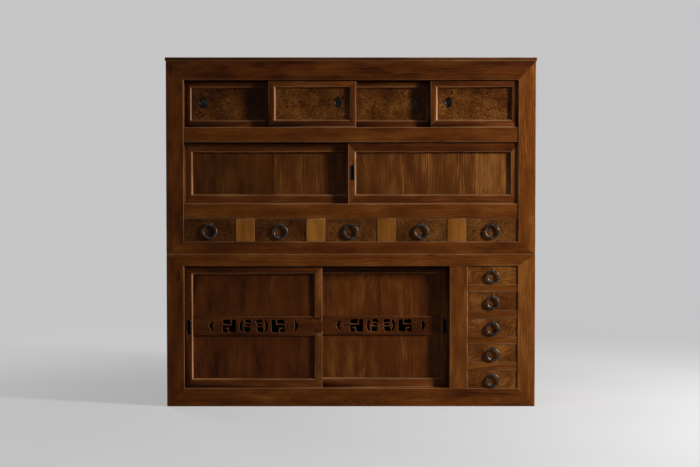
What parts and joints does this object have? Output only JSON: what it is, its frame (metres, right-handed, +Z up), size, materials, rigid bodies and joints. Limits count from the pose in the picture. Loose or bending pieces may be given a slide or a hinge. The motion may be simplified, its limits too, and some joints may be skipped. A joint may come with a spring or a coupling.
{
  "type": "kitchen chest",
  "caption": "Two-part Japanese kitchen chest with sliding doors, carved pierced rails, burl panels and small drawers on iron ring pulls.",
  "frame": {"origin": "centre of the case's footprint, on the floor", "axes": "+X to the right as seen from the front, +Y from the front to the back, +Z up"},
  "size_m": [1.748, 0.4602, 1.6445],
  "materials": {
    "frame_wood": "clear lacquer, worn satin",
    "panel_wood": "clear lacquer, worn satin",
    "top_wood": "dark lacquer, worn satin",
    "drawer_block_wood": "clear lacquer, honey coloured",
    "inner_wood": "bare softwood",
    "burl_door_wood": "burl figure under clear lacquer",
    "middle_door_wood": "figured grain under clear lacquer",
    "lower_door_wood": "reddish lacquer, worn satin",
    "carved_wood": "carved and lacquered",
    "drawer_wood": "figured front, bare inside",
    "black_iron": "forged, blackened"
  },
  "bodies": {
    "case": {"lower_back": "inner_wood", "lower_front_rails": "frame_wood", "lower_inner_boards": "inner_wood", "lower_posts": "frame_wood", "lower_side_frames": "frame_wood", "small_drawer_partitions": "drawer_block_wood", "top_board": "top_wood", "upper_back": "inner_wood", "upper_front_rails": "frame_wood", "upper_posts": "frame_wood", "upper_shelves": "inner_wood", "upper_side_panels": "panel_wood", "upper_side_rails": "frame_wood"},
    "top_door_1": {"top_door_1": "burl_door_wood", "top_door_1_cup": "black_iron"},
    "top_door_2": {"top_door_2": "burl_door_wood", "top_door_2_cup": "black_iron"},
    "top_door_3": {"top_door_3": "burl_door_wood", "top_door_3_cup": "black_iron"},
    "top_door_4": {"top_door_4": "burl_door_wood", "top_door_4_cup": "black_iron"},
    "middle_door_left": {"middle_door_left": "middle_door_wood"},
    "middle_door_right": {"middle_door_right": "middle_door_wood", "middle_door_right_pull": "black_iron"},
    "lower_door_left": {"lower_door_left": "lower_door_wood", "lower_door_left_carved_rail": "carved_wood", "lower_door_left_pull": "black_iron"},
    "lower_door_right": {"lower_door_right": "lower_door_wood", "lower_door_right_carved_rail": "carved_wood", "lower_door_right_pull": "black_iron"},
    "small_drawer_1": {"small_drawer_1_box": "drawer_wood", "small_drawer_1_staple": "black_iron"},
    "small_drawer_1_ring": {"small_drawer_1_ring": "black_iron"},
    "small_drawer_2": {"small_drawer_2_box": "drawer_wood", "small_drawer_2_staple": "black_iron"},
    "small_drawer_2_ring": {"small_drawer_2_ring": "black_iron"},
    "small_drawer_3": {"small_drawer_3_box": "drawer_wood", "small_drawer_3_staple": "black_iron"},
    "small_drawer_3_ring": {"small_drawer_3_ring": "black_iron"},
    "small_drawer_4": {"small_drawer_4_box": "drawer_wood", "small_drawer_4_staple": "black_iron"},
    "small_drawer_4_ring": {"small_drawer_4_ring": "black_iron"},
    "small_drawer_5": {"small_drawer_5_box": "drawer_wood", "small_drawer_5_staple": "black_iron"},
    "small_drawer_5_ring": {"small_drawer_5_ring": "black_iron"},
    "stack_drawer_1": {"stack_drawer_1_box": "drawer_wood", "stack_drawer_1_staple": "black_iron"},
    "stack_drawer_1_ring": {"stack_drawer_1_ring": "black_iron"},
    "stack_drawer_2": {"stack_drawer_2_box": "drawer_wood", "stack_drawer_2_staple": "black_iron"},
    "stack_drawer_2_ring": {"stack_drawer_2_ring": "black_iron"},
    "stack_drawer_3": {"stack_drawer_3_box": "drawer_wood", "stack_drawer_3_staple": "black_iron"},
    "stack_drawer_3_ring": {"stack_drawer_3_ring": "black_iron"},
    "stack_drawer_4": {"stack_drawer_4_box": "drawer_wood", "stack_drawer_4_staple": "black_iron"},
    "stack_drawer_4_ring": {"stack_drawer_4_ring": "black_iron"},
    "stack_drawer_5": {"stack_drawer_5_box": "drawer_wood", "stack_drawer_5_staple": "black_iron"},
    "stack_drawer_5_ring": {"stack_drawer_5_ring": "black_iron"}
  },
  "joints": [
    {"name": "top_door_1_slide", "type": "slide", "parent": "case", "child": "top_door_1", "axis": [1, 0, 0], "range_m": [0, 0.35]},
    {"name": "top_door_2_slide", "type": "slide", "parent": "case", "child": "top_door_2", "axis": [1, 0, 0], "range_m": [-0.398, 0]},
    {"name": "top_door_3_slide", "type": "slide", "parent": "case", "child": "top_door_3", "axis": [1, 0, 0], "range_m": [0, 0.398]},
    {"name": "top_door_4_slide", "type": "slide", "parent": "case", "child": "top_door_4", "axis": [1, 0, 0], "range_m": [-0.35, 0]},
    {"name": "middle_door_left_slide", "type": "slide", "parent": "case", "child": "middle_door_left", "axis": [1, 0, 0], "range_m": [0, 0.773]},
    {"name": "middle_door_right_slide", "type": "slide", "parent": "case", "child": "middle_door_right", "axis": [1, 0, 0], "range_m": [-0.773, 0]},
    {"name": "lower_door_left_slide", "type": "slide", "parent": "case", "child": "lower_door_left", "axis": [1, 0, 0], "range_m": [0, 0.602]},
    {"name": "lower_door_right_slide", "type": "slide", "parent": "case", "child": "lower_door_right", "axis": [1, 0, 0], "range_m": [-0.602, 0]},
    {"name": "small_drawer_1_slide", "type": "slide", "parent": "case", "child": "small_drawer_1", "axis": [0, -1, 0], "range_m": [0, 0.3]},
    {"name": "small_drawer_1_ring_hinge", "type": "hinge", "parent": "small_drawer_1", "child": "small_drawer_1_ring", "pos_m": [-0.665, -0.22725, 0.85925], "axis": [-1, 0, 0], "range_deg": [0, 95]},
    {"name": "small_drawer_2_slide", "type": "slide", "parent": "case", "child": "small_drawer_2", "axis": [0, -1, 0], "range_m": [0, 0.3]},
    {"name": "small_drawer_2_ring_hinge", "type": "hinge", "parent": "small_drawer_2", "child": "small_drawer_2_ring", "pos_m": [-0.3325, -0.22725, 0.85925], "axis": [-1, 0, 0], "range_deg": [0, 95]},
    {"name": "small_drawer_3_slide", "type": "slide", "parent": "case", "child": "small_drawer_3", "axis": [0, -1, 0], "range_m": [0, 0.3]},
    {"name": "small_drawer_3_ring_hinge", "type": "hinge", "parent": "small_drawer_3", "child": "small_drawer_3_ring", "pos_m": [0, -0.22725, 0.85925], "axis": [-1, 0, 0], "range_deg": [0, 95]},
    {"name": "small_drawer_4_slide", "type": "slide", "parent": "case", "child": "small_drawer_4", "axis": [0, -1, 0], "range_m": [0, 0.3]},
    {"name": "small_drawer_4_ring_hinge", "type": "hinge", "parent": "small_drawer_4", "child": "small_drawer_4_ring", "pos_m": [0.3325, -0.22725, 0.85925], "axis": [-1, 0, 0], "range_deg": [0, 95]},
    {"name": "small_drawer_5_slide", "type": "slide", "parent": "case", "child": "small_drawer_5", "axis": [0, -1, 0], "range_m": [0, 0.3]},
    {"name": "small_drawer_5_ring_hinge", "type": "hinge", "parent": "small_drawer_5", "child": "small_drawer_5_ring", "pos_m": [0.665, -0.22725, 0.85925], "axis": [-1, 0, 0], "range_deg": [0, 95]},
    {"name": "stack_drawer_1_slide", "type": "slide", "parent": "case", "child": "stack_drawer_1", "axis": [0, -1, 0], "range_m": [0, 0.3]},
    {"name": "stack_drawer_1_ring_hinge", "type": "hinge", "parent": "stack_drawer_1", "child": "stack_drawer_1_ring", "pos_m": [0.6695, -0.22725, 0.64225], "axis": [-1, 0, 0], "range_deg": [0, 95]},
    {"name": "stack_drawer_2_slide", "type": "slide", "parent": "case", "child": "stack_drawer_2", "axis": [0, -1, 0], "range_m": [0, 0.3]},
    {"name": "stack_drawer_2_ring_hinge", "type": "hinge", "parent": "stack_drawer_2", "child": "stack_drawer_2_ring", "pos_m": [0.6695, -0.22725, 0.51925], "axis": [-1, 0, 0], "range_deg": [0, 95]},
    {"name": "stack_drawer_3_slide", "type": "slide", "parent": "case", "child": "stack_drawer_3", "axis": [0, -1, 0], "range_m": [0, 0.3]},
    {"name": "stack_drawer_3_ring_hinge", "type": "hinge", "parent": "stack_drawer_3", "child": "stack_drawer_3_ring", "pos_m": [0.6695, -0.22725, 0.39625], "axis": [-1, 0, 0], "range_deg": [0, 95]},
    {"name": "stack_drawer_4_slide", "type": "slide", "parent": "case", "child": "stack_drawer_4", "axis": [0, -1, 0], "range_m": [0, 0.3]},
    {"name": "stack_drawer_4_ring_hinge", "type": "hinge", "parent": "stack_drawer_4", "child": "stack_drawer_4_ring", "pos_m": [0.6695, -0.22725, 0.27325], "axis": [-1, 0, 0], "range_deg": [0, 95]},
    {"name": "stack_drawer_5_slide", "type": "slide", "parent": "case", "child": "stack_drawer_5", "axis": [0, -1, 0], "range_m": [0, 0.3]},
    {"name": "stack_drawer_5_ring_hinge", "type": "hinge", "parent": "stack_drawer_5", "child": "stack_drawer_5_ring", "pos_m": [0.6695, -0.22725, 0.15025], "axis": [-1, 0, 0], "range_deg": [0, 95]}
  ]
}
